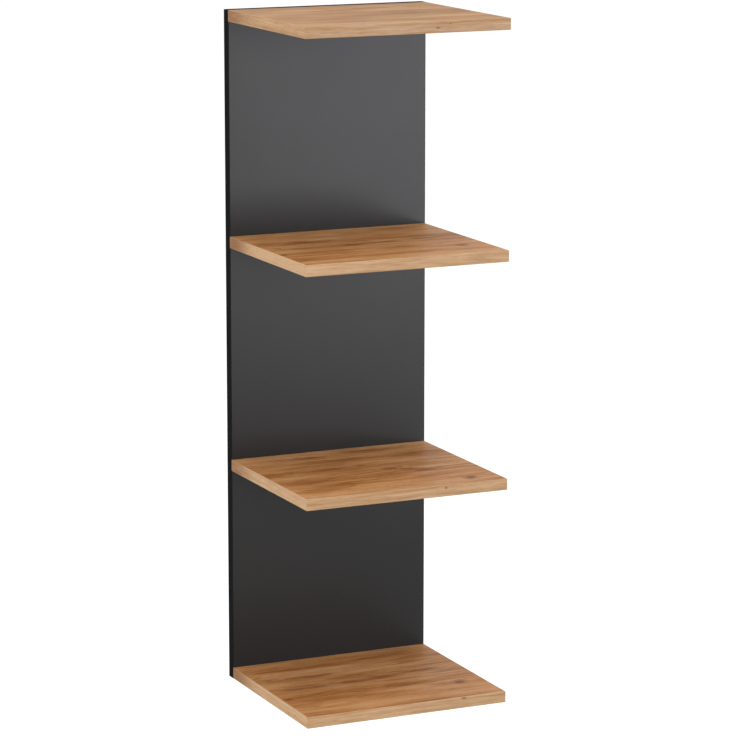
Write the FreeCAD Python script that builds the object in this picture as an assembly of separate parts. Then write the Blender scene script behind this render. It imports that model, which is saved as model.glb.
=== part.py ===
import FreeCAD
import Part
import math
import os

from FreeCAD import Vector

# Wall shelf: a dark laminated back panel that hangs flat on a wall and carries four oak boards.
#
# Millimetres, +Z up. The wall is the plane Y = 0 and the boards stand out towards -Y.
# The origin is on the wall plane, midway between the entry holes of the two keyhole hangers.
# Every board is one blank with eased edges, sliced along the glue lines into a core and its edge bands.
# Each shelf board butts against the panel and is held from behind by two connecting screws.

# Overall sizes
SHELF_WIDTH = 300.0
SHELF_DEPTH = 280.0
BOARD = 16.0
SHELF_NAMES = ("top", "upper", "lower", "bottom")
BAY_HEIGHTS = (298.0, 301.0, 287.0)

# Edge bands: trimmed to a radius on the oak boards and to a plain bevel on the back panel
BAND = 1.0
EDGE_ROUND = 0.8
PANEL_BEVEL = 0.6

# Connecting screws, driven from the back of the panel into the rear edge of each board
SCREW_INSET = 50.0
SCREW_LENGTH = 50.0
SCREW_HEAD_RADIUS = 5.0
SCREW_HEAD_CONE = 2.0
SCREW_SHOULDER_RADIUS = 3.5
SCREW_SHOULDER_LENGTH = 13.0
SCREW_CORE_RADIUS = 2.5
SCREW_PILOT_SPARE = 3.0
SOCKET_SIDES = 6
SOCKET_ACROSS_FLATS = 4.0
SOCKET_DEPTH = 3.2

# Keyhole hanger plates, let in flush with the back of the panel
HANGER_SPACING = 200.0
HANGER_DROP = 70.0
PLATE_LENGTH = 60.0
PLATE_WIDTH = 20.0
PLATE_THICKNESS = 1.5
PLATE_FIT = 0.25
ENTRY_RADIUS = 5.0
SLOT_RADIUS = 2.5
SLOT_RISE = 12.0
RELIEF_RADIUS = 7.0
RELIEF_DEPTH = 9.0

# Countersunk screws that hold the hanger plates
PLATE_SCREW_PITCH = 44.0
PLATE_SCREW_LENGTH = 12.0
PLATE_SCREW_HEAD_RADIUS = 3.0
PLATE_SCREW_RADIUS = 1.5
CROSS_LENGTH = 3.2
CROSS_WIDTH = 0.7
CROSS_DEPTH = 0.9

# How far a cut runs past an open face
OVERCUT = 1.0

# Places worked out from the sizes above
SHELF_HEIGHT = len(SHELF_NAMES) * BOARD + sum(BAY_HEIGHTS)
HALF_WIDTH = SHELF_WIDTH / 2
TOP = HANGER_DROP
BOTTOM = TOP - SHELF_HEIGHT
FRONT = -SHELF_DEPTH
PANEL_FRONT = -BOARD
SCREW_X = HALF_WIDTH - SCREW_INSET
HANGER_X = HANGER_SPACING / 2
PLATE_MIDDLE = (SLOT_RISE + SLOT_RADIUS - ENTRY_RADIUS) / 2
PLATE_SCREW_HEIGHTS = (PLATE_MIDDLE - PLATE_SCREW_PITCH / 2, PLATE_MIDDLE + PLATE_SCREW_PITCH / 2)
BACKWARD = Vector(0, 1, 0)


# Shapes that several pieces are made from

def block(low, high):
    """A box between two opposite corners."""
    size = high - low
    return Part.makeBox(size.x, size.y, size.z, low)


def turned(outline):
    """A solid turned about the Y axis, from (radius, y) points that start and end on the axis."""
    points = [Vector(radius, y, 0) for radius, y in outline]
    face = Part.Face(Part.makePolygon(points + points[:1]))
    return face.revolve(Vector(0, 0, 0), BACKWARD, 360)


def drilled(radius, y_from, y_to):
    """A round hole along Y, as the solid that the drill removes."""
    return Part.makeCylinder(radius, y_to - y_from, Vector(0, y_from, 0), BACKWARD)


def stadium(radius, low_z, high_z, y_from, y_to):
    """An upright bar with round ends on X = 0, whose end centres are at low_z and high_z."""
    right_low = Vector(radius, y_from, low_z)
    right_high = Vector(radius, y_from, high_z)
    left_high = Vector(-radius, y_from, high_z)
    left_low = Vector(-radius, y_from, low_z)
    crown = Part.Arc(right_high, Vector(0, y_from, high_z + radius), left_high)
    foot = Part.Arc(left_low, Vector(0, y_from, low_z - radius), right_low)
    edges = [
        Part.LineSegment(right_low, right_high).toShape(),
        crown.toShape(),
        Part.LineSegment(left_high, left_low).toShape(),
        foot.toShape(),
    ]
    return Part.Face(Part.Wire(edges)).extrude(BACKWARD * (y_to - y_from))


def at_each(shape, places):
    """Copies of a shape moved to each of the (x, z) places."""
    return [shape.translated(Vector(x, 0, z)) for x, z in places]


# Connecting screw and its bores

def screw_flank():
    """Head cone and start of the shoulder, as (radius, y) points. The panel's bore has the same flank."""
    return [
        (SCREW_HEAD_RADIUS, 0),
        (SCREW_SHOULDER_RADIUS, -SCREW_HEAD_CONE),
    ]


def connecting_screw():
    """One connecting screw, its head flush with the back of the panel, with a hexagon socket."""
    body = turned([(0, 0)] + screw_flank() + [
        (SCREW_SHOULDER_RADIUS, -SCREW_SHOULDER_LENGTH),
        (SCREW_CORE_RADIUS, -SCREW_SHOULDER_LENGTH),
        (SCREW_CORE_RADIUS, -SCREW_LENGTH),
        (0, -SCREW_LENGTH),
    ])
    corner_radius = SOCKET_ACROSS_FLATS / 2 / math.cos(math.pi / SOCKET_SIDES)
    corners = []
    for corner in range(SOCKET_SIDES):
        angle = 2 * math.pi * corner / SOCKET_SIDES
        x = corner_radius * math.cos(angle)
        z = corner_radius * math.sin(angle)
        corners.append(Vector(x, -SOCKET_DEPTH, z))
    socket = Part.Face(Part.makePolygon(corners + corners[:1]))
    return body.cut(socket.extrude(BACKWARD * (SOCKET_DEPTH + OVERCUT)))


def screw_bore_in_panel():
    """Countersunk clearance bore right through the panel."""
    end = PANEL_FRONT - OVERCUT
    return turned([(0, OVERCUT), (SCREW_HEAD_RADIUS, OVERCUT)] + screw_flank() + [
        (SCREW_SHOULDER_RADIUS, end),
        (0, end),
    ])


def screw_pilot_in_board():
    """Pilot bore in the rear edge of a board."""
    return drilled(SCREW_CORE_RADIUS, -SCREW_LENGTH - SCREW_PILOT_SPARE, PANEL_FRONT + OVERCUT)


# Keyhole hanger

def plate_screw_flank():
    """Cone of the countersunk head, as (radius, y) points. It fills the plate's seat."""
    return [
        (PLATE_SCREW_HEAD_RADIUS, 0),
        (PLATE_SCREW_RADIUS, -PLATE_THICKNESS),
    ]


def plate_screw():
    """One countersunk screw with a cross recess, flush with the plate."""
    body = turned([(0, 0)] + plate_screw_flank() + [
        (PLATE_SCREW_RADIUS, -PLATE_SCREW_LENGTH),
        (0, -PLATE_SCREW_LENGTH),
    ])
    half_length = CROSS_LENGTH / 2
    half_width = CROSS_WIDTH / 2
    cross = [
        block(Vector(-x, -CROSS_DEPTH, -z), Vector(x, OVERCUT, z))
        for x, z in ((half_length, half_width), (half_width, half_length))
    ]
    return body.cut(cross)


def plate_outline(spare, y_from, y_to):
    """The plate's round-ended outline, enlarged all round by spare."""
    reach = (PLATE_LENGTH - PLATE_WIDTH) / 2
    return stadium(PLATE_WIDTH / 2 + spare, PLATE_MIDDLE - reach, PLATE_MIDDLE + reach, y_from, y_to)


def hanger_plate():
    """Steel plate with a keyhole and two countersunk seats."""
    plate = plate_outline(0, -PLATE_THICKNESS, 0)
    through = -PLATE_THICKNESS - OVERCUT
    entry = drilled(ENTRY_RADIUS, through, OVERCUT)
    slot = stadium(SLOT_RADIUS, 0, SLOT_RISE, through, OVERCUT)
    seat = turned([(0, OVERCUT), (PLATE_SCREW_HEAD_RADIUS, OVERCUT)] + plate_screw_flank() + [
        (PLATE_SCREW_RADIUS, through),
        (0, through),
    ])
    seats = at_each(seat, [(0, z) for z in PLATE_SCREW_HEIGHTS])
    return plate.cut([entry, slot] + seats)


def hanger_pocket():
    """What is routed out of the panel for one hanger: plate recess, head relief and pilot holes."""
    recess = plate_outline(PLATE_FIT, -PLATE_THICKNESS, OVERCUT)
    relief = stadium(RELIEF_RADIUS, 0, SLOT_RISE, -RELIEF_DEPTH, OVERCUT)
    pilot = drilled(PLATE_SCREW_RADIUS, -PLATE_SCREW_LENGTH, OVERCUT)
    pilots = at_each(pilot, [(0, z) for z in PLATE_SCREW_HEIGHTS])
    return recess.fuse([relief] + pilots)


# Boards and their edge bands

def shelf_undersides():
    """Height of the underside of each board, from the top board down."""
    undersides = [TOP - BOARD]
    for bay in BAY_HEIGHTS:
        undersides.append(undersides[-1] - bay - BOARD)
    return undersides


def screw_places(underside):
    """The (x, z) places of a board's two connecting screws."""
    middle = underside + BOARD / 2
    return [(-SCREW_X, middle), (SCREW_X, middle)]


def edges_where(shape, is_wanted):
    """The edges of a shape whose bounding boxes pass a test."""
    return [edge for edge in shape.Edges if is_wanted(edge.BoundBox)]


def panel_pieces():
    """The back panel's core, not yet drilled, and its four edge bands."""
    blank = block(Vector(-HALF_WIDTH, PANEL_FRONT, BOTTOM), Vector(HALF_WIDTH, 0, TOP))
    rims = edges_where(blank, lambda box: box.YLength < BOARD / 2)
    blank = blank.makeChamfer(PANEL_BEVEL, rims)
    inner = HALF_WIDTH - BAND

    def slice_of(x_from, x_to, z_from, z_to):
        return blank.common(block(Vector(x_from, PANEL_FRONT, z_from), Vector(x_to, 0, z_to)))

    core = slice_of(-inner, inner, BOTTOM + BAND, TOP - BAND)
    bands = {
        "panel_left_edge_band": slice_of(-HALF_WIDTH, -inner, BOTTOM, TOP),
        "panel_right_edge_band": slice_of(inner, HALF_WIDTH, BOTTOM, TOP),
        "panel_top_edge_band": slice_of(-inner, inner, TOP - BAND, TOP),
        "panel_bottom_edge_band": slice_of(-inner, inner, BOTTOM, BOTTOM + BAND),
    }
    return core, bands


def shelf_pieces(name, underside):
    """One shelf board with its pilot bores, its three edge bands and its two screws."""
    top_face = underside + BOARD
    square_from = PANEL_FRONT - EDGE_ROUND
    blank = block(Vector(-HALF_WIDTH, FRONT, underside), Vector(HALF_WIDTH, PANEL_FRONT, top_face))
    arrises = edges_where(blank, lambda box: box.ZLength < BOARD / 2 and box.YMin < square_from)
    blank = blank.makeFillet(EDGE_ROUND, arrises)
    inner = HALF_WIDTH - BAND
    inner_front = FRONT + BAND

    def slice_of(x_from, x_to, y_from, y_to):
        return blank.common(block(Vector(x_from, y_from, underside), Vector(x_to, y_to, top_face)))

    places = screw_places(underside)
    pilots = at_each(screw_pilot_in_board(), places)
    return {
        f"{name}_shelf_board": slice_of(-inner, inner, inner_front, PANEL_FRONT).cut(pilots),
        f"{name}_shelf_front_edge_band": slice_of(-HALF_WIDTH, HALF_WIDTH, FRONT, inner_front),
        f"{name}_shelf_left_edge_band": slice_of(-HALF_WIDTH, -inner, inner_front, PANEL_FRONT),
        f"{name}_shelf_right_edge_band": slice_of(inner, HALF_WIDTH, inner_front, PANEL_FRONT),
        f"{name}_shelf_connecting_screws": Part.makeCompound(at_each(connecting_screw(), places)),
    }


def shelf_unit():
    """Every piece of the shelf, by name."""
    core, pieces = panel_pieces()
    panel_cuts = []

    for name, underside in zip(SHELF_NAMES, shelf_undersides()):
        pieces.update(shelf_pieces(name, underside))
        panel_cuts += at_each(screw_bore_in_panel(), screw_places(underside))

    plate_screws = []
    for side, x in (("left", -HANGER_X), ("right", HANGER_X)):
        pieces[f"{side}_hanger_plate"] = hanger_plate().translated(Vector(x, 0, 0))
        plate_screws += at_each(plate_screw(), [(x, z) for z in PLATE_SCREW_HEIGHTS])
        panel_cuts.append(hanger_pocket().translated(Vector(x, 0, 0)))

    pieces["hanger_screws"] = Part.makeCompound(plate_screws)
    pieces["back_panel"] = core.cut(panel_cuts)
    return pieces


os.makedirs("parts", exist_ok=True)
for piece_name, shape in shelf_unit().items():
    shape.exportStep(f"parts/{piece_name}.step")
    solids = len(shape.Solids)
    print(f"{piece_name}: {solids} solid(s), valid {shape.isValid()}, {shape.Volume / 1000:.1f} cm3")
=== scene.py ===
# %% [markdown]
# A wall shelf: four short oak-look boards stand out from a tall graphite back panel, which hangs on
# the wall by two keyhole plates. The boards are laminated chipboard with a thin plastic edge band,
# and every screw is driven from behind, so the front shows no fastener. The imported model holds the
# shapes at their real size. This lesson gives them their finishes, cuts real threads on the screws,
# and sets up a small studio with a camera.

# %% Load the frame
import math
from collections import namedtuple

import bmesh
import bpy
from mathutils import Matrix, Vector


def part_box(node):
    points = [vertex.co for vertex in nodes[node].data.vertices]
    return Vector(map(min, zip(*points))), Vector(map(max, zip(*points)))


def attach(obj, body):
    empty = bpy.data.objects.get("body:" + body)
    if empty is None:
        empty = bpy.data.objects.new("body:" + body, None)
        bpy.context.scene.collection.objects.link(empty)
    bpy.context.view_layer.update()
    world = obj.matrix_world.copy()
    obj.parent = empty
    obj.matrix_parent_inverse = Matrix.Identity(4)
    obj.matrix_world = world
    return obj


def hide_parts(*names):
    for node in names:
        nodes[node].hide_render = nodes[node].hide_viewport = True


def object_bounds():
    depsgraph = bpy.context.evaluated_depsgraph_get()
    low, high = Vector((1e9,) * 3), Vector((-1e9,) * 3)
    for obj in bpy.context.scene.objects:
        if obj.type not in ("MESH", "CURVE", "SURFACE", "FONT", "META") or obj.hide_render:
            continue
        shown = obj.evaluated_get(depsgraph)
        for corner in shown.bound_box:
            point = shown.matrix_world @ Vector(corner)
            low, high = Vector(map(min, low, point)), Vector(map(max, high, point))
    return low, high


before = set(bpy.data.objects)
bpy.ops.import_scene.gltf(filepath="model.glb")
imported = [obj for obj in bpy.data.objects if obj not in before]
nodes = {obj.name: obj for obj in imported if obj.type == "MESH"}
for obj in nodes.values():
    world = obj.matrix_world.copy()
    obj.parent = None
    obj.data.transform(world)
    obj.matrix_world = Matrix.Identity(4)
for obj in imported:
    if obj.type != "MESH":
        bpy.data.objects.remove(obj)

cad_low, cad_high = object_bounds()
print("nodes:", len(nodes), "size:", [round(side, 4) for side in cad_high - cad_low])

# %% [markdown]
# A finish is a tree of shader nodes that ends in one shader. In the editor such a tree is wired by
# dragging noodles; in a script that takes many lines, so a small class does it. Each method adds one
# node and returns its output, and an input may be a plain value or another node's output.

# %% Wire a node tree
class Wiring:
    """A node tree in the making: each method adds a shader node and returns its output."""

    def __init__(self, holder, shader):
        holder.use_nodes = True
        self.holder = holder
        self.tree = holder.node_tree
        self.shader = self.tree.nodes[shader]

    def feed(self, socket, value):
        """Join a socket to another node's output, or give it a plain value."""
        if isinstance(value, bpy.types.NodeSocket):
            self.tree.links.new(value, socket)
        else:
            socket.default_value = value

    def add(self, kind, inputs, output=0, **options):
        """Add a node with its options, then feed its inputs, named or counted."""
        node = self.tree.nodes.new("ShaderNode" + kind)
        for option, value in options.items():
            setattr(node, option, value)
        for socket, value in inputs.items():
            self.feed(node.inputs[socket], value)
        return node.outputs[output]

    def surface(self, **inputs):
        """Feed the shader itself, whose socket names are written with underscores."""
        for name, value in inputs.items():
            self.feed(self.shader.inputs[name.replace("_", " ")], value)

    def maths(self, first, operation, second=0.0):
        """One step of arithmetic."""
        return self.add("Math", {0: first, 1: second}, operation=operation)

    def weigh(self, *shares):
        """Add up values, each times its share."""
        total = 0.0
        for value, share in shares:
            total = self.add("Math", {0: value, 1: share, 2: total}, operation="MULTIPLY_ADD")
        return total


# %% [markdown]
# Every pattern starts from the Object coordinates. They are metres in the shelf's own frame, so a
# size written here is a real size, and a grain runs on from piece to piece. A UV map would do it too,
# but each piece would have to be unwrapped first. A noise that is read at few cells to the metre one
# way and at many the other way comes out as long streaks, and most of the patterns below are that.

# %% Patterns for a finish
class Finish(Wiring):
    """A material in the making, with the patterns that the finishes share."""

    def __init__(self, name):
        super().__init__(bpy.data.materials.new(name), "Principled BSDF")
        self.place = self.add("TexCoord", {}, "Object")

    def axis(self, vector, letter):
        """One part of a vector: X, Y or Z."""
        return self.add("SeparateXYZ", {"Vector": vector}, letter)

    def facing(self, letter):
        """How far the surface faces along an axis, from -1 to 1."""
        return self.axis(self.add("NewGeometry", {}, "Normal"), letter)

    def stretch(self, per_metre, origin=(0.0, 0.0, 0.0), vector=None):
        """Coordinates measured from an origin, with so many pattern cells to the metre."""
        offset = [-start * scale for start, scale in zip(origin, per_metre)]
        vector = vector or self.place
        return self.add("Mapping", {"Vector": vector, "Scale": per_metre, "Location": offset})

    def noise(self, vector, detail=2.0, roughness=0.5):
        """A cloudy pattern round 0.5, with finer layers the higher its detail."""
        inputs = {"Vector": vector, "Scale": 1.0, "Detail": detail, "Roughness": roughness}
        return self.add("TexNoise", inputs, "Fac")

    def spread(self, value, low, high, to_low=0.0, to_high=1.0):
        """Map low to high onto another range with soft ends."""
        inputs = {"Value": value, 1: low, 2: high, 3: to_low, 4: to_high}
        return self.add("MapRange", inputs, interpolation_type="SMOOTHSTEP")

    def between(self, value, low, full, fade, high):
        """A share that is 1 from full to fade and falls to 0 at low and at high."""
        rise = self.spread(value, low, full)
        drop = self.spread(value, fade, high, 1.0, 0.0)
        return self.maths(rise, "MULTIPLY", drop)

    def ramp(self, value, stops):
        """Colours along a scale from 0 to 1, as (position, linear colour) pairs."""
        output = self.add("ValToRGB", {"Fac": value}, "Color")
        elements = output.node.color_ramp.elements
        while len(elements) < len(stops):
            elements.new(1.0)
        for element, (position, colour) in zip(elements, stops):
            element.position = position
            element.color = (*colour, 1.0)
        return output

    def tint(self, share, below, colour):
        """Lay a share of one colour over what is below."""
        above = colour if isinstance(colour, bpy.types.NodeSocket) else (*colour, 1.0)
        return self.add("Mix", {0: share, 6: below, 7: above}, 2, data_type="RGBA")

    def bump(self, height, distance, strength):
        """A normal that leans with the slope of a height."""
        inputs = {"Height": height, "Distance": distance, "Strength": strength}
        return self.add("Bump", inputs, "Normal")


# %% [markdown]
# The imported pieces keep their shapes: they are neither moved nor edited. A finish only goes into the
# material slots that a piece already has.

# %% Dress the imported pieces
def dress(names, finish):
    """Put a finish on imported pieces."""
    for name in names:
        for slot in nodes[name].material_slots:
            slot.material = finish.holder
    print(finish.holder.name, "on", ", ".join(names))


# %% [markdown]
# The boards carry a printed oak: long tan and brown bands that run from end to end, finer streaks
# inside them, short dark pores, and some knots and dark flames. An image of a plank would do it, but
# it would repeat and turn to blur close up. So stretched noises make the grain. A slow noise first
# bends the coordinates, and the lines then wander as they do in a real tree.

# %% Bend the grain
MM = 0.001
OAK_KNOT = (0.122, 0.022, 0.001)
OAK_DARK = (0.282, 0.099, 0.015)
OAK_TAN = (0.516, 0.236, 0.082)
OAK_PALE = (0.638, 0.370, 0.172)


def wander(finish, cells, along, across, detail=1.0):
    """The place of a point, pushed along X and across Y by a noise."""
    slow = finish.noise(finish.stretch(cells), detail=detail)
    push = finish.maths(slow, "SUBTRACT", 0.5)
    shift = finish.add("CombineXYZ", {
        "X": finish.maths(push, "MULTIPLY", along),
        "Y": finish.maths(push, "MULTIPLY", across),
    })
    return finish.add("VectorMath", {0: finish.place, 1: shift}, operation="ADD")


# %% [markdown]
# A dark flame in the wood is an oval mark. The distance from its middle is counted as 1 at its outline,
# and by that distance a soft halo and a darker heart are laid over the grain. The mark is measured on
# torn coordinates, which pull the oval apart into fibres, so that it looks grown and not drawn.

# %% Flames
def mark_distance(finish, vector, middle, size):
    """Distance from a mark's middle, 1 at its outline. Given in millimetres; a side of 0 is endless."""
    scale = [2.0 / (side * MM) if side else 0.0 for side in size]
    reach = finish.stretch(scale, [place * MM for place in middle], vector)
    return finish.add("VectorMath", {0: reach}, "Value", operation="LENGTH")


def halo_of(finish, away, depth):
    """A share that is full in the middle of a mark and fades out beyond its outline."""
    return finish.spread(away, 0.0, 1.6, 0.9 * depth, 0.0)


def stain(finish, colour, away, depth, veils, tints):
    """Lay the halo of a mark over the colour, and then its heart, each thinned by its veil."""
    halo = halo_of(finish, away, depth)
    heart = finish.spread(away, 0.2, 0.95, depth ** 1.6, 0.0)
    for layer, veil, tint in zip((halo, heart), veils, tints):
        colour = finish.tint(finish.maths(layer, "MULTIPLY", veil), colour, tint)
    return colour


# %% [markdown]
# A mark on a board has five values, and a named tuple keeps them apart. A round mark is a pin knot, the
# cut end of a twig. It keeps its outline, has a few fine rings, and is darkest in the middle. The same
# distance draws it: its fraction, counted in rings, is a saw tooth.

# %% Pin knots
KNOT_RED = (0.205, 0.062, 0.009)
KNOT_RINGS = 4.0
ROUND = 1.5
Mark = namedtuple("Mark", "x y length width depth")


def is_round(mark):
    """Whether a mark is not much longer than it is wide."""
    return mark.length < ROUND * mark.width


def pin_knot(finish, colour, away, depth, share):
    """Lay a small ringed knot over a share of the colour."""
    halo = finish.spread(away, 0.4, 2.2, 0.7 * depth, 0.0)
    wood = finish.spread(away, 0.65, 1.05, 0.7 * depth, 0.0)
    ring = finish.maths(finish.maths(away, "MULTIPLY", KNOT_RINGS), "FRACT")
    ring = finish.maths(finish.spread(ring, 0.2, 0.9, 0.0, 0.5), "MULTIPLY", wood)
    heart = finish.spread(away, 0.1, 0.6, depth, 0.0)
    for layer, tint in ((halo, OAK_DARK), (wood, KNOT_RED), (ring, OAK_KNOT), (heart, OAK_KNOT)):
        colour = finish.tint(finish.maths(layer, "MULTIPLY", share), colour, tint)
    return colour


# %% [markdown]
# A tree grows a line a year. The years are counted across the board, and a slow noise is added to the
# count: where it outruns the count, the lines close into the long arches of a board that is sawn flat.
# Marks are added to the count too, and the lines then bend round them. The fraction of the count is how
# far a year has gone, and the wood darkens late in it. A Wave texture would draw lines too, but without
# the arches. Pores are short dashes, the middles of Voronoi cells that are stretched along the grain.

# %% Growth lines and pores
YEARS_PER_METRE = 100.0
YEAR_WAVES = 12.0
YEARS_ROUND_MARKS = 3.0
WAVE_CELLS = (1.6, 14.0, 30.0)
LATE_START = 0.50
LATE_PEAK = 0.93


def growth(finish, grain, swell):
    """How far a point is through its year of growth, from 0 to 1."""
    waves = finish.noise(finish.stretch(WAVE_CELLS, vector=grain), detail=1.0)
    count = finish.weigh(
        (finish.axis(grain, "Y"), YEARS_PER_METRE),
        (waves, YEAR_WAVES),
        (swell, YEARS_ROUND_MARKS),
    )
    return finish.maths(count, "FRACT")


def late_wood(finish, year):
    """A share that rises slowly through a year and drops at its end."""
    return finish.between(year, LATE_START, LATE_PEAK, LATE_PEAK, 1.0)


def pore_dashes(finish, per_metre, vector=None):
    """1 in the pores and 0 between them."""
    cells = {"Vector": finish.stretch(per_metre, vector=vector), "Scale": 1.0}
    return finish.spread(finish.add("TexVoronoi", cells, "Distance"), 0.20, 0.36, 1.0, 0.0)


print("a growth line about every", round(1.0 / YEARS_PER_METRE / MM, 1), "mm")

# %% [markdown]
# Where a band is glued to a board, a hair-thin darker line stays visible on close view. It lies just
# inside the board's front and side edges, so the distance to the nearest of them draws it.

# %% The glue line
GLUE_LINE = 0.35 * MM
board_low, board_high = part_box("top_shelf_board")


def glue_line(finish):
    """1 at the banded edges of a board and 0 a hair further in."""
    to_side = finish.maths(finish.axis(finish.place, "X"), "ABSOLUTE")
    to_side = finish.maths(board_high.x, "SUBTRACT", to_side)
    to_front = finish.maths(finish.axis(finish.place, "Y"), "SUBTRACT", board_low.y)
    nearest = finish.maths(to_side, "MINIMUM", to_front)
    return finish.spread(nearest, 0.0, GLUE_LINE, 0.6, 0.0)


print("board edges at", round(board_high.x, 4), round(board_low.y, 4))

# %% [markdown]
# The marks are needed twice: first to bend the growth lines, later to stain the wood. So one function
# measures them all, and adds up how much they swell the grain. The deepest are dense knots: they keep
# their outline, where a flame is torn.

# %% Measure the marks
KNOT_DEPTH = 0.85
KNOT_EDGE_CELLS = (90.0, 180.0, 90.0)


def measured(oak, marks, ragged):
    """The distance to each mark, and the swell of them all."""
    grown = wander(oak, KNOT_EDGE_CELLS, along=10 * MM, across=4 * MM)
    aways = []
    swell = 0.0
    for mark in marks:
        edge = grown if mark.depth >= KNOT_DEPTH else ragged
        away = mark_distance(oak, edge, (mark.x, mark.y, 0), (mark.length, mark.width, 0))
        swell = oak.maths(halo_of(oak, away, abs(mark.depth)), "ADD", swell)
        aways.append(away)
    return aways, swell


# %% [markdown]
# The marks are laid only on the upper side, as the underside of such a board comes from another part of
# the printing roll. Fibres and late wood thin the halo of a flame, so that the wood shows through it.
# Its heart is denser. A mark with a depth below 0 is a pale streak.

# %% Lay the marks
def lay_marks(oak, colour, marks, aways, fibres, late):
    """Stain the upper side of a board with its flames and knots."""
    upwards = oak.spread(oak.facing("Z"), 0.2, 0.8)
    threads = oak.spread(fibres, 0.25, 0.65, 1.15, 0.45)
    torn = oak.maths(upwards, "MULTIPLY", oak.weigh((threads, 0.75), (late, 0.55)))
    dense = oak.maths(upwards, "MULTIPLY", oak.weigh((threads, 0.95), (late, 0.15)))
    for mark, away in zip(marks, aways):
        if is_round(mark):
            colour = pin_knot(oak, colour, away, mark.depth, upwards)
        else:
            tints = (OAK_DARK, OAK_KNOT) if mark.depth > 0 else (OAK_PALE, OAK_PALE)
            colour = stain(oak, colour, away, abs(mark.depth), (torn, dense), tints)
    return colour


# %% [markdown]
# Now the print itself. Three noises add up to one tone: broad bands, patches and fine fibres. A
# colour ramp turns the tone into oak, and the late wood darkens it line by line. Then come the marks and
# the pores, of which oak has most early in the year. Fibres and pores also give the relief, because the
# laminate is pressed with a texture that follows its print.

# %% The printed oak
GRAIN_CELLS = (5.0, 9.0, 25.0)
TEAR_CELLS = (28.0, 240.0, 90.0)
BROAD_CELLS = (2.5, 24.0, 60.0)
PATCH_CELLS = (11.0, 56.0, 90.0)
FIBRE_CELLS = (12.0, 430.0, 140.0)
PORE_CELLS = (70.0, 1000.0, 300.0)
PORE_SHARE = 0.55


def oak_print(name, tones, rows):
    """Printed oak with its own (position, colour) tones and its own rows of marks."""
    oak = Finish(name)
    marks = [Mark(*row) for row in rows]
    grain = wander(oak, GRAIN_CELLS, along=0.0, across=20 * MM)
    ragged = wander(oak, TEAR_CELLS, along=45 * MM, across=8 * MM, detail=2.0)
    broad = oak.noise(oak.stretch(BROAD_CELLS, vector=grain), detail=2.0)
    patches = oak.noise(oak.stretch(PATCH_CELLS, vector=ragged), detail=5.0, roughness=0.62)
    fibres = oak.noise(oak.stretch(FIBRE_CELLS, vector=grain), detail=3.0)
    tone = oak.weigh((broad, 0.42), (patches, 0.36), (fibres, 0.22))

    aways, swell = measured(oak, marks, ragged)
    year = growth(oak, grain, swell)
    late = late_wood(oak, year)
    lines = oak.maths(late, "MULTIPLY", oak.spread(patches, 0.35, 0.65, 0.80, 0.20))
    colour = oak.tint(lines, oak.ramp(tone, tones), OAK_DARK)
    colour = lay_marks(oak, colour, marks, aways, fibres, late)

    early = oak.spread(year, 0.1, 0.6, 1.0, 0.35)
    pores = oak.maths(pore_dashes(oak, PORE_CELLS, grain), "MULTIPLY", early)
    colour = oak.tint(oak.maths(pores, "MULTIPLY", PORE_SHARE), colour, OAK_KNOT)
    colour = oak.tint(glue_line(oak), colour, OAK_KNOT)
    relief = oak.weigh((fibres, 0.6), (pores, -0.8))
    oak.surface(
        Base_Color=colour,
        Roughness=oak.spread(fibres, 0.25, 0.75, 0.60, 0.50),
        Specular_IOR_Level=0.26,
        Normal=oak.bump(relief, 0.12 * MM, 0.35),
    )
    return oak


# %% [markdown]
# The upper and the bottom board are cut from the same lively stretch of the print. Each row below is one
# mark: its middle (x, y), its length and width in millimetres, and its depth of colour. The boards are
# seen at a low angle, which squeezes the marks, so they are wider here than they look. Scattering them
# at random would be shorter, but a printing roll has its knots in set places.

# %% The flamed boards
FLAMED_TONES = [(0.366, OAK_DARK), (0.481, OAK_TAN), (0.622, OAK_PALE)]
FLAMED = [
    (-24, -150, 64, 20, 1.00),
    (-92, -150, 135, 26, 0.75),
    (22, -146, 84, 16, 0.78),
    (88, -137, 95, 16, 0.72),
    (125, -153, 110, 14, 0.60),
    (-75, -103, 115, 19, 0.80),
    (-6, -122, 84, 12, 0.50),
    (32, -194, 110, 17, 0.62),
    (-104, -194, 110, 48, 0.38),
    (112, -213, 17, 15, 0.95),
    (92, -210, 74, 18, 0.50),
    (88, -41, 84, 26, 0.42),
    (-134, -100, 60, 36, 0.50),
    (-146, -193, 24, 14, 0.80),
    (-126, -237, 32, 14, 0.60),
    (-20, -256, 250, 34, -0.40),
]
dress(["upper_shelf_board", "bottom_shelf_board"], oak_print("oak_flamed_print", FLAMED_TONES, FLAMED))

# %% [markdown]
# The lower board comes from a knotty stretch, where three small knots lie in a row and the grain swirls
# round them. Its tones sit a little higher on the scale, which makes it a little darker.

# %% The knotty board
KNOTTY_TONES = [(0.388, OAK_DARK), (0.503, OAK_TAN), (0.644, OAK_PALE)]
KNOTTY = [
    (30, -157, 42, 17, 0.92),
    (52, -168, 42, 16, 0.95),
    (72, -184, 46, 17, 0.88),
    (-48, -52, 46, 19, 0.80),
    (40, -41, 125, 30, 0.70),
    (1, -81, 95, 20, 0.52),
    (96, -91, 95, 22, 0.62),
    (-41, -130, 95, 20, 0.48),
    (-113, -190, 125, 28, 0.72),
    (-104, -238, 115, 22, 0.52),
    (-144, -134, 60, 26, 0.58),
    (108, -252, 17, 16, 0.85),
    (120, -126, 70, 22, 0.40),
    (70, -256, 210, 40, 0.20),
]
dress(["lower_shelf_board"], oak_print("oak_knotty_print", KNOTTY_TONES, KNOTTY))
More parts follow.
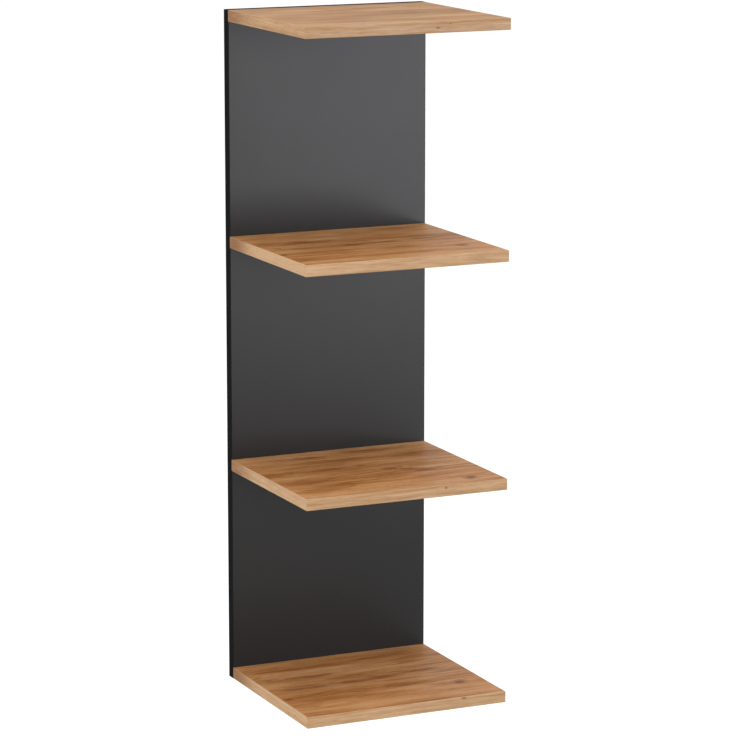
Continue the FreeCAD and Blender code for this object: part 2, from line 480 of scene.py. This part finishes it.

# %% [markdown]
# The top board is calm and has no knots. No board shades it from the lamps, so its colours are darker
# than the others' as painted shade, or it would look too bright. It still looks paler than the others.

# %% The calm board
# painted shade: these oak colours are darkened because this board lies open to the lamps
CALM_PAINTED_SHADE_DARK = (0.272, 0.124, 0.038)
CALM_PAINTED_SHADE_TAN = (0.397, 0.200, 0.067)
CALM_PAINTED_SHADE_PALE = (0.525, 0.294, 0.127)
CALM_PAINTED_SHADE_TONES = [(0.405, CALM_PAINTED_SHADE_DARK), (0.510, CALM_PAINTED_SHADE_TAN), (0.610, CALM_PAINTED_SHADE_PALE)]
CALM = [
    (55, -160, 90, 20, 0.70),
    (-60, -120, 120, 22, 0.52),
    (30, -70, 110, 24, 0.58),
    (-50, -108, 260, 52, 0.30),
    (60, -215, 240, 44, -0.35),
]
dress(["top_shelf_board"], oak_print("oak_calm_print", CALM_PAINTED_SHADE_TONES, CALM))

# %% [markdown]
# The edge bands are plastic strips, a millimetre thick, printed with a paler and calmer oak whose
# grain runs along the strip. After gluing, a cutter trims both long edges to a small radius. There
# the print is cut away and the plain beige plastic shows, so the slope of the surface tells where.

# %% The oak edge band
BAND_KNOT = (0.165, 0.055, 0.015)
BAND_RUST = (0.290, 0.130, 0.053)
BAND_TAN = (0.440, 0.242, 0.112)
BAND_PALE = (0.655, 0.417, 0.236)
BAND_ROSE = (0.625, 0.420, 0.282)
BAND_PLASTIC = (0.600, 0.385, 0.215)
BAND_PORES = 0.30
BAND_BARE = 0.50


def trimmed(finish):
    """A share of 1 on a rounded arris and 0 on the flat faces beside it."""
    slope = finish.maths(finish.facing("Z"), "ABSOLUTE")
    return finish.between(slope, 0.15, 0.45, 0.90, 0.99)


def finer(per_metre, times):
    """Pattern cells that are so many times smaller."""
    return [times * scale for scale in per_metre]


def oak_band(name, per_metre, shift, pale, marks):
    """Printed band, its grain long where per_metre is small; a shift above 0 makes it darker."""
    band = Finish(name)
    shades = band.noise(band.stretch(finer(per_metre, 0.5)), detail=2.0)
    streaks = band.noise(band.stretch(per_metre), detail=3.0)
    lines = band.noise(band.stretch(finer(per_metre, 4.0)), detail=2.0)
    tone = band.weigh((shades, 0.12), (streaks, 0.53), (lines, 0.35))
    colour = band.ramp(tone, [(0.34 + shift, BAND_TAN), (0.66 + shift, pale)])
    veil = band.spread(lines, 0.3, 0.7, 1.1, 0.7)
    for middle, size, depth, heart in marks:
        away = mark_distance(band, band.place, middle, size)
        colour = stain(band, colour, away, depth, (veil, veil), (BAND_RUST, heart))
    pores = band.maths(pore_dashes(band, finer(per_metre, 5.0)), "MULTIPLY", BAND_PORES)
    colour = band.tint(pores, colour, BAND_RUST)
    bare = band.maths(trimmed(band), "MULTIPLY", BAND_BARE)
    colour = band.tint(bare, colour, BAND_PLASTIC)
    band.surface(
        Base_Color=colour,
        Roughness=band.spread(lines, 0.3, 0.7, 0.62, 0.52),
        Specular_IOR_Level=0.12,
        Normal=band.bump(lines, 0.1 * MM, 0.3),
    )
    return band


# %% [markdown]
# No two strips are alike, so each board gets its own. The front strips have a few pin knots, given by
# x, z, length, height and depth, and the top one is a little rosier than the rest. The side strips turn
# rusty towards the panel, which is one long mark that starts at the panel and is endless in the two
# other directions.

# %% Lay the bands on the boards
PIN_KNOTS = {
    "top": [(42, 61, 9, 3.0, 0.85), (60, 66, 4, 3.0, 0.60), (-70, 58, 4, 2.5, 0.30)],
    "upper": [(108, -253, 44, 12.0, 0.22)],
    "lower": [(57, -565, 5, 4.0, 0.70)],
    "bottom": [(86, -866, 9, 3.0, 0.95)],
}
Strips = namedtuple("Strips", "front_shift front_pale side_shift rust_depth")
STRIPS = {
    "top": Strips(0.063, BAND_ROSE, -0.004, 0.65),
    "upper": Strips(-0.040, BAND_PALE, -0.185, 0.95),
    "lower": Strips(0.008, BAND_PALE, -0.096, 0.70),
    "bottom": Strips(-0.010, BAND_PALE, -0.082, 0.90),
}
RUST_REACH = 140
ALONG_X = (9.0, 220.0, 220.0)
ALONG_Y = (220.0, 9.0, 220.0)
panel_front = board_high.y / MM

for board, strips in STRIPS.items():
    knots = []
    for x, z, length, height, depth in PIN_KNOTS[board]:
        knots.append(((x, 0, z), (length, 0, height), depth, BAND_KNOT))
    rust = [((0, panel_front, 0), (0, RUST_REACH, 0), strips.rust_depth, BAND_RUST)]
    front = oak_band(f"oak_{board}_front_band", ALONG_X, strips.front_shift, strips.front_pale, knots)
    side = oak_band(f"oak_{board}_side_band", ALONG_Y, strips.side_shift, BAND_PALE, rust)
    dress([f"{board}_shelf_front_edge_band"], front)
    dress([f"{board}_shelf_{end}_edge_band" for end in ("left", "right")], side)

# %% [markdown]
# The back panel is chipboard under a plain graphite laminate with a fine pearl texture. Where it is
# drilled and routed for the fasteners, the pale chips show. One material does both: the depth of a
# point below the two faces says whether it is laminate or core.

# %% The chipboard core
CHIP_DARK = (0.28, 0.17, 0.085)
CHIP_PALE = (0.62, 0.45, 0.27)
CHIP_CELLS = (420.0, 700.0, 420.0)
LAMINATE = 0.3 * MM
panel_low, panel_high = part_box("back_panel")
print("panel thickness:", round(panel_high.y - panel_low.y, 4))


def chipboard(finish):
    """Pressed wood chips, a few millimetres long, in random browns."""
    chips = {"Vector": finish.stretch(CHIP_CELLS), "Scale": 1.0}
    chip = finish.add("SeparateColor", {"Color": finish.add("TexVoronoi", chips, "Color")}, "Red")
    return finish.ramp(chip, [(0.0, CHIP_DARK), (1.0, CHIP_PALE)])


def inside_panel(finish):
    """1 below the laminate of both faces and 0 in it."""
    middle = (panel_low.y + panel_high.y) / 2
    half = (panel_high.y - panel_low.y) / 2
    from_middle = finish.maths(finish.axis(finish.place, "Y"), "SUBTRACT", middle)
    from_middle = finish.maths(from_middle, "ABSOLUTE")
    return finish.maths(from_middle, "LESS_THAN", half - LAMINATE)


# %% [markdown]
# The laminate is nearly black, so most of what it shows is a soft reflection of the studio. That
# makes its roughness the value that matters: the low one here keeps the sheen of the lamps, and the
# small changes of it keep the sheen alive.

# %% The graphite laminate
GRAPHITE = (0.0100, 0.0092, 0.0084)
GRAPHITE_PALE = (0.0126, 0.0117, 0.0109)
PEARL_CELLS = (900.0, 900.0, 900.0)
CLOUD_CELLS = (14.0, 14.0, 14.0)

graphite = Finish("graphite_laminate")
pearl = graphite.noise(graphite.stretch(PEARL_CELLS), detail=2.0)
cloud = graphite.noise(graphite.stretch(CLOUD_CELLS), detail=3.0)
laminate = graphite.ramp(pearl, [(0.35, GRAPHITE), (0.65, GRAPHITE_PALE)])
graphite.surface(
    Base_Color=graphite.tint(inside_panel(graphite), laminate, chipboard(graphite)),
    Roughness=graphite.spread(cloud, 0.3, 0.7, 0.344, 0.352),
    Specular_IOR_Level=0.20,
    Normal=graphite.bump(pearl, 0.04 * MM, 0.25),
)
dress(["back_panel"], graphite)

# %% [markdown]
# The panel's own edge bands are duller than its faces and not printed: they are dyed all through. The
# trimmer leaves their bevels a little greyer, and the slope towards the faces tells where.

# %% The graphite edge bands
DYED_DARK = (0.0066, 0.0066, 0.0070)
DYED_PALE = (0.0092, 0.0092, 0.0096)
BEVEL_GREY = (0.0160, 0.0160, 0.0170)
SPECK_CELLS = (1400.0, 1400.0, 1400.0)

matte = Finish("graphite_band")
speck = matte.noise(matte.stretch(SPECK_CELLS), detail=2.0)
dyed = matte.ramp(speck, [(0.3, DYED_DARK), (0.7, DYED_PALE)])
bevel = matte.between(matte.maths(matte.facing("Y"), "ABSOLUTE"), 0.3, 0.6, 0.8, 0.95)
matte.surface(
    Base_Color=matte.tint(bevel, dyed, BEVEL_GREY),
    Roughness=matte.spread(speck, 0.3, 0.7, 0.72, 0.84),
    Specular_IOR_Level=0.02,
    Normal=matte.bump(speck, 0.04 * MM, 0.3),
)
dress([f"panel_{side}_edge_band" for side in ("left", "right", "top", "bottom")], matte)

# %% [markdown]
# The hanger plates and all screws are steel with a zinc coat. The bath leaves a faint crystal bloom,
# and the rolling of the sheet leaves fine lines. Metal has no colour of its own in Blender: its base
# colour tints what it mirrors, so in a white studio the base has to be a good deal darker than white.

# %% Zinc-coated steel
ZINC_DARK = (0.30, 0.31, 0.325)
ZINC_PALE = (0.46, 0.47, 0.485)
BLOOM_CELLS = (260.0, 260.0, 260.0)
ROLLING_CELLS = (3200.0, 3200.0, 120.0)

zinc = Finish("zinc_coated_steel")
bloom = zinc.noise(zinc.stretch(BLOOM_CELLS), detail=4.0, roughness=0.6)
rolling = zinc.noise(zinc.stretch(ROLLING_CELLS), detail=2.0)
zinc_tone = zinc.weigh((bloom, 0.75), (rolling, 0.25))
zinc.surface(
    Base_Color=zinc.ramp(zinc_tone, [(0.32, ZINC_DARK), (0.68, ZINC_PALE)]),
    Metallic=1.0,
    Roughness=zinc.spread(zinc_tone, 0.3, 0.7, 0.42, 0.26),
    Normal=zinc.bump(rolling, 0.03 * MM, 0.3),
)
dress(["left_hanger_plate", "right_hanger_plate"], zinc)

# %% [markdown]
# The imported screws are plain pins, so new screws with real threads take their places. First come two
# small habits of work in Blender. An operator acts on all that is selected, so a piece is first left
# alone in the selection; and in edit mode, faces are selected in code, by their place or direction.

# %% Select with care
def alone(piece):
    """Leave one object selected and active."""
    bpy.ops.object.select_all(action="DESELECT")
    piece.select_set(True)
    bpy.context.view_layer.objects.active = piece


def select_faces(piece, is_wanted):
    """In edit mode, select the faces that pass a test."""
    bpy.ops.mesh.select_mode(type="FACE")
    bpy.ops.mesh.select_all(action="DESELECT")
    mesh = bmesh.from_edit_mesh(piece.data)
    for face in mesh.faces:
        face.select_set(is_wanted(face))
    bmesh.update_edit_mesh(piece.data)


# %% [markdown]
# A connecting screw has a countersunk head, a smooth shoulder that fills the bore in the panel, and a
# coarse thread that bites into the board. The head and shoulder are turned on a lathe. Spin could turn
# a profile, but drawing a disc down the axis and scaling it at each station needs no profile at all.

# %% Turn the heads
ROUND_SIDES = 48


def turned_head(stations):
    """A round solid that hangs from Z = 0, drawn down through (radius, depth) stations."""
    radius, depth = stations[0]
    bpy.ops.object.select_all(action="DESELECT")
    bpy.ops.mesh.primitive_circle_add(vertices=ROUND_SIDES, radius=radius, fill_type="NGON")
    bpy.ops.object.mode_set(mode="EDIT")
    for next_radius, next_depth in stations[1:]:
        drop = (0.0, 0.0, depth - next_depth)
        scale = next_radius / radius
        bpy.ops.mesh.extrude_region_move(TRANSFORM_OT_translate={"value": drop})
        bpy.ops.transform.resize(value=(scale, scale, 1.0), center_override=(0.0, 0.0, 0.0))
        radius, depth = next_radius, next_depth
    bpy.ops.mesh.select_all(action="SELECT")
    bpy.ops.mesh.normals_make_consistent(inside=False)
    bpy.ops.object.mode_set(mode="OBJECT")
    print("turned a head and shoulder,", round(depth / MM, 2), "mm long")
    return bpy.context.object


# %% [markdown]
# A thread is one tooth of its profile, carried round the axis and down by one pitch a turn, which is
# what the Screw modifier does. The tooth starts as a single vertex that is extruded from corner to
# corner. Each turn ends where the next one starts, so merging the doubles closes the rod.

# %% Wind the thread
STEPS_PER_TURN = 24
TOOTH = ((0.0, 0.25), (1.0, 0.18), (0.0, 0.14), (-1.0, 0.18), (0.0, 0.25))


def wound_thread(root, crest, pitch, top, bottom):
    """An open threaded tube that runs past both depths. TOOTH is in ridge heights and pitches."""
    bpy.ops.object.select_all(action="DESELECT")
    bpy.ops.mesh.primitive_plane_add(size=root, location=(root, 0.0, pitch - top))
    bpy.ops.object.transform_apply(location=True)
    bpy.ops.object.mode_set(mode="EDIT")
    bpy.ops.mesh.select_mode(type="VERT")
    bpy.ops.mesh.merge(type="CENTER")
    for outward, along in TOOTH:
        corner = (outward * (crest - root), 0.0, -along * pitch)
        bpy.ops.mesh.extrude_vertices_move(TRANSFORM_OT_translate={"value": corner})
    bpy.ops.object.mode_set(mode="OBJECT")
    rod = bpy.context.object
    bpy.ops.object.modifier_add(type="SCREW")
    winding = rod.modifiers[-1]
    winding.axis = "Z"
    winding.screw_offset = -pitch
    winding.iterations = math.ceil((bottom - top) / pitch) + 2
    winding.steps = STEPS_PER_TURN
    winding.render_steps = STEPS_PER_TURN
    turns = winding.iterations
    bpy.ops.object.modifier_apply(modifier=winding.name)
    print("wound", turns, "turns of thread,", round(pitch / MM, 2), "mm a turn")
    return rod


# %% [markdown]
# The tube is cut square at both ends, and each cut is filled. Then the end face is scaled down with
# proportional editing, so that the last turns follow it in a straight taper to the tip.

# %% Cut and point the rod
HAIR = 0.0001 * MM
NEAR = 0.01 * MM


def pointed_rod(rod, top, bottom, taper, tip_scale):
    """Close a threaded tube at two depths and taper its lower end."""
    bpy.ops.object.mode_set(mode="EDIT")
    bpy.ops.mesh.select_all(action="SELECT")
    bpy.ops.mesh.remove_doubles(threshold=NEAR)
    for depth, outward in ((top, 1.0), (bottom, -1.0)):
        cut = {"plane_co": (0.0, 0.0, -depth), "plane_no": (0.0, 0.0, outward)}
        bpy.ops.mesh.select_all(action="SELECT")
        bpy.ops.mesh.bisect(**cut, use_fill=True, clear_outer=True, threshold=HAIR)
    bpy.ops.mesh.select_all(action="SELECT")
    bpy.ops.mesh.normals_make_consistent(inside=False)
    select_faces(rod, lambda face: face.calc_center_median().z < NEAR - bottom)
    bpy.ops.transform.resize(
        value=(tip_scale, tip_scale, 1.0),
        center_override=(0.0, 0.0, 0.0),
        use_proportional_edit=True,
        proportional_edit_falloff="LINEAR",
        proportional_size=taper,
    )
    bpy.ops.object.mode_set(mode="OBJECT")
    print("cut a rod of", round((bottom - top) / MM, 2), "mm")
    return rod


# %% [markdown]
# Head, rod and the hole for the driver become one solid by Boolean modifiers. Joining the meshes
# would be quicker, but it would leave hidden faces inside the screw.

# %% Join solids and cut them
def combine(piece, tool, operation):
    """Add a second solid to a piece or cut it away, and clear the second one off the bench."""
    alone(piece)
    bpy.ops.object.modifier_add(type="BOOLEAN")
    joint = piece.modifiers[-1]
    joint.operation = operation
    joint.object = tool
    joint.solver = "EXACT"
    bpy.ops.object.modifier_apply(modifier=joint.name)
    alone(tool)
    bpy.ops.object.delete()
    alone(piece)


# %% [markdown]
# The connecting screw takes a hexagon key. A cylinder with six sides is the shape of that key, and it
# is cut out of the head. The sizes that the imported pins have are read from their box. The head is a
# little smaller than its seat and its rim is broken, so a fine ring shows round it, as on the real one.

# %% The connecting screw
RIM = 0.1 * MM
HEAD_CONE = 2.0 * MM
SHOULDER_RADIUS = 3.5 * MM
SHOULDER_LENGTH = 13.0 * MM
THREAD_ROOT = 2.5 * MM
THREAD_CREST = 3.4 * MM
THREAD_PITCH = 3.0 * MM
THREAD_TAPER = 6.0 * MM
TIP_SCALE = 0.6
LAP = 0.5 * MM
KEY_FLATS = 4.0 * MM
KEY_DEPTH = 3.2 * MM
KEY_SIDES = 6

pins_low, pins_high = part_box("top_shelf_connecting_screws")
screw_length = pins_high.y - pins_low.y
head_radius = (pins_high.z - pins_low.z) / 2
thread_top = SHOULDER_LENGTH - LAP
stations = [
    (head_radius - 3 * RIM, 0.0),
    (head_radius - 2 * RIM, RIM),
    (SHOULDER_RADIUS, HEAD_CONE),
    (SHOULDER_RADIUS, SHOULDER_LENGTH),
]
connecting_screw = turned_head(stations)
rod = wound_thread(THREAD_ROOT, THREAD_CREST, THREAD_PITCH, thread_top, screw_length)
rod = pointed_rod(rod, thread_top, screw_length, THREAD_TAPER, TIP_SCALE)
combine(connecting_screw, rod, "UNION")

key_radius = KEY_FLATS / 2 / math.cos(math.pi / KEY_SIDES)
bpy.ops.object.select_all(action="DESELECT")
bpy.ops.mesh.primitive_cylinder_add(vertices=KEY_SIDES, radius=key_radius, depth=2 * KEY_DEPTH)
combine(connecting_screw, bpy.context.object, "DIFFERENCE")
print("connecting screw:", len(connecting_screw.data.polygons), "faces", round(screw_length, 4), "m long")

# %% [markdown]
# A screw that was modelled upright has to lie in its bore with the head towards the wall. It is turned
# once and copied to each place, its head driven a hair below the face of the panel. The copies that
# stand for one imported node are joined. Applying the transforms at the end puts the place into the
# mesh and leaves the object at the origin.

# %% Seat the connecting screws
BOARDS = ("top", "upper", "lower", "bottom")
SMOOTH_ANGLE = math.radians(35.0)
SUNK = 0.02 * MM


def lay_down(screw):
    """Turn a screw that hangs along -Z so that it points along -Y, and smooth its round faces."""
    alone(screw)
    bpy.ops.object.shade_smooth_by_angle(angle=SMOOTH_ANGLE)
    screw.rotation_euler.x = -math.pi / 2
    bpy.ops.object.transform_apply(rotation=True)


def seat_copies(screw, name, node, places):
    """Put copies of a screw at (x, z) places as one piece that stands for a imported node."""
    copies = []
    for x, z in places:
        alone(screw)
        bpy.ops.object.duplicate()
        bpy.ops.transform.translate(value=(x, -SUNK, z))
        copies.append(bpy.context.object)
    for copy in copies:
        copy.select_set(True)
    bpy.ops.object.join()
    bpy.ops.object.transform_apply(location=True, rotation=True, scale=True)
    piece = bpy.context.object
    piece.name = name
    piece.data.name = name
    piece.data.materials.append(zinc.holder)
    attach(piece, "root")
    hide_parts(node)
    print(name, "stands for", node, "with", len(piece.data.polygons), "faces")


lay_down(connecting_screw)
screw_x = pins_high.x - head_radius
for board in BOARDS:
    node = f"{board}_shelf_connecting_screws"
    low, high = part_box(node)
    height = (low.z + high.z) / 2
    places = [(-screw_x, height), (screw_x, height)]
    seat_copies(connecting_screw, f"{board}_shelf_threaded_screws", node, places)
alone(connecting_screw)
bpy.ops.object.delete()

# %% [markdown]
# The small screws of the hanger plates are common wood screws: a countersunk head that fills the seat
# in the plate, a short neck, and a fine thread that runs out in a sharp point. The same three steps
# make them: turn the head, wind the thread, and point the rod.

# %% The hanger screw
PLATE_SCREW_SHANK = 1.5 * MM
PLATE_SCREW_NECK = 2.4 * MM
PLATE_THREAD_ROOT = 1.0 * MM
PLATE_THREAD_CREST = 1.45 * MM
PLATE_THREAD_PITCH = 1.35 * MM
PLATE_THREAD_TAPER = 3.0 * MM
SHARP = 0.08

plate_low, plate_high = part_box("left_hanger_plate")
small_low, small_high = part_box("hanger_screws")
plate_x = -(plate_low.x + plate_high.x) / 2
small_length = small_high.y - small_low.y
small_head = small_high.x - plate_x
plate_thickness = plate_high.y - plate_low.y
neck_top = PLATE_SCREW_NECK - LAP
stations = [
    (small_head - 3 * RIM, 0.0),
    (small_head - 2 * RIM, RIM),
    (PLATE_SCREW_SHANK, plate_thickness),
    (PLATE_SCREW_SHANK, PLATE_SCREW_NECK),
]
hanger_screw = turned_head(stations)
rod = wound_thread(PLATE_THREAD_ROOT, PLATE_THREAD_CREST, PLATE_THREAD_PITCH, neck_top, small_length)
rod = pointed_rod(rod, neck_top, small_length, PLATE_THREAD_TAPER, SHARP)
combine(hanger_screw, rod, "UNION")

# %% [markdown]
# Its driver has a cross-shaped tip, and the recess in the head is the shape of that tip. A cube has its
# four sides pulled out into arms, and its floor is drawn in, as the tip is. Then it is cut out of the
# head. A star drawn as a curve would need filling and bevelling to come to the same.

# %% Cut the cross recess
CROSS_WIDTH = 0.7 * MM
CROSS_ARM = 1.25 * MM
CROSS_DEPTH = 0.9 * MM
CROSS_FLOOR = 0.55

bpy.ops.object.select_all(action="DESELECT")
bpy.ops.mesh.primitive_cube_add(size=1.0, scale=(CROSS_WIDTH, CROSS_WIDTH, 2 * CROSS_DEPTH))
cross = bpy.context.object
bpy.ops.object.transform_apply(scale=True)
bpy.ops.object.mode_set(mode="EDIT")
select_faces(cross, lambda face: abs(face.normal.z) < 0.5)
bpy.ops.mesh.extrude_faces_move(TRANSFORM_OT_shrink_fatten={"value": CROSS_ARM})
select_faces(cross, lambda face: face.normal.z < -0.5)
bpy.ops.transform.resize(value=(CROSS_FLOOR, CROSS_FLOOR, 1.0), center_override=(0.0, 0.0, 0.0))
bpy.ops.object.mode_set(mode="OBJECT")
combine(hanger_screw, cross, "DIFFERENCE")
print("hanger screw:", len(hanger_screw.data.polygons), "faces", round(small_length, 4), "m long")

# %% [markdown]
# Four of them hold the two plates, and they make one piece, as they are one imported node.

# %% Seat the hanger screws
lay_down(hanger_screw)
heights = (small_low.z + small_head, small_high.z - small_head)
places = [(x, z) for x in (-plate_x, plate_x) for z in heights]
seat_copies(hanger_screw, "hanger_plate_screws", "hanger_screws", places)
alone(hanger_screw)
bpy.ops.object.delete()

# %% [markdown]
# The studio is a pale floor far below the hung shelf and a plain white surround. To the camera, and
# in reflections, the surround is pure white; as a light it is weaker, so that the colours render
# about as they are written. Light Path tells the two apart. The floor glows in the same way, just
# enough to be as white as the surround where no shadow falls on it.

# %% Floor and surround
HANG_HEIGHT = 1.2
FLOOR_SIDE = 60.0
FLOOR_PALE = (0.80, 0.80, 0.80, 1.0)
FLOOR_GLOW = 0.60
WORLD_LIGHT = 0.55
WHITE = (1.0, 1.0, 1.0, 1.0)


def seen_directly(wiring):
    """1 for rays from the camera and for reflected or refracted ones, 0 for diffuse light."""
    rays = wiring.add("LightPath", {}).node.outputs
    mirrored = wiring.maths(rays["Is Glossy Ray"], "MAXIMUM", rays["Is Transmission Ray"])
    return wiring.maths(rays["Is Camera Ray"], "MAXIMUM", mirrored)


bpy.ops.object.select_all(action="DESELECT")
bpy.ops.mesh.primitive_plane_add(size=FLOOR_SIDE, location=(0.0, 0.0, cad_low.z - HANG_HEIGHT))
floor = bpy.context.object
floor.name = "studio_floor"
pale = Finish("pale_floor")
pale.surface(Base_Color=FLOOR_PALE, Roughness=0.9, Specular_IOR_Level=0.0, Emission_Color=WHITE)
pale.surface(Emission_Strength=pale.maths(seen_directly(pale), "MULTIPLY", FLOOR_GLOW))
floor.data.materials.append(pale.holder)

surround = Wiring(bpy.data.worlds.new("white_surround"), "Background")
surround.surface(Color=WHITE, Strength=surround.maths(seen_directly(surround), "MAXIMUM", WORLD_LIGHT))
bpy.context.scene.world = surround.holder
print("floor", round(floor.location.z, 3), "m; surround light", WORLD_LIGHT)

# %% [markdown]
# A large softbox high on the left models the boards: it lights their tops, fronts and left ends. A
# second one hangs overhead and a little in front. Each board shades the one below it from that lamp,
# so the tops are brightest along the front and fall off towards the panel. A faintly cool card in front
# and to the right is there for the panel alone, which mirrors it as a soft sheen that fades downwards.
# It gives no diffuse light, or it would flatten the oak.

# %% Lamps
SHEEN_COOL = (0.970, 0.985, 1.045)
shelf_middle = (cad_low + cad_high) / 2


def softbox(name, location, width, height, radiance):
    """A flat lamp that faces the shelf; its power follows from its size and brightness."""
    bpy.ops.object.select_all(action="DESELECT")
    bpy.ops.object.light_add(type="AREA", location=location)
    lamp = bpy.context.object
    lamp.name = name
    lamp.data.shape = "RECTANGLE"
    lamp.data.size = width
    lamp.data.size_y = height
    lamp.data.energy = radiance * width * height * math.pi
    lamp.rotation_mode = "QUATERNION"
    lamp.rotation_quaternion = (shelf_middle - Vector(location)).to_track_quat("-Z", "Y")
    lamp.visible_camera = False
    print(name, "power", round(lamp.data.energy, 1), "W")
    return lamp


softbox("key_softbox", (-4.9, -4.7, 4.2), width=4.3, height=4.3, radiance=5.8)
softbox("top_softbox", (0.0, -1.7, 4.6), width=2.0, height=2.0, radiance=5.0)
sheen = softbox("sheen_card", (1.42, -2.55, -0.15), width=1.4, height=1.5, radiance=9.1)
sheen.visible_diffuse = False
sheen.data.color = SHEEN_COOL

# %% [markdown]
# The camera stands to the left of the shelf and above its middle, nearly level with the top board, so
# each board below shows more of its upper side. It looks down a little instead of using lens shift:
# a shift would hold the uprights parallel, but it would push the shelf out of every other view.

# %% Camera
CAMERA_PLACE = (-1.9018, -4.3138, 0.4914)
CAMERA_YAW = math.radians(24.542)
CAMERA_PITCH = math.radians(11.232)
LENS = 165.52
SENSOR = 36.0

bpy.ops.object.select_all(action="DESELECT")
bpy.ops.object.camera_add(location=CAMERA_PLACE)
camera = bpy.context.object
camera.name = "photo_camera"
camera.data.sensor_width = SENSOR
camera.data.lens = LENS
camera.data.clip_end = 2 * FLOOR_SIDE
camera.rotation_euler = (math.pi / 2 - CAMERA_PITCH, 0.0, -CAMERA_YAW)
bpy.context.scene.camera = camera
bpy.context.scene.view_settings.view_transform = "Standard"
print("camera", round((camera.location - shelf_middle).length, 3), "m from the middle of the shelf")

# %% [markdown]
# Last, the box of the imported shelf is printed once more. The finishes and the threads stay inside it.

# %% Sizes and finish
print("packed", [round(side, 4) for side in cad_high - cad_low])
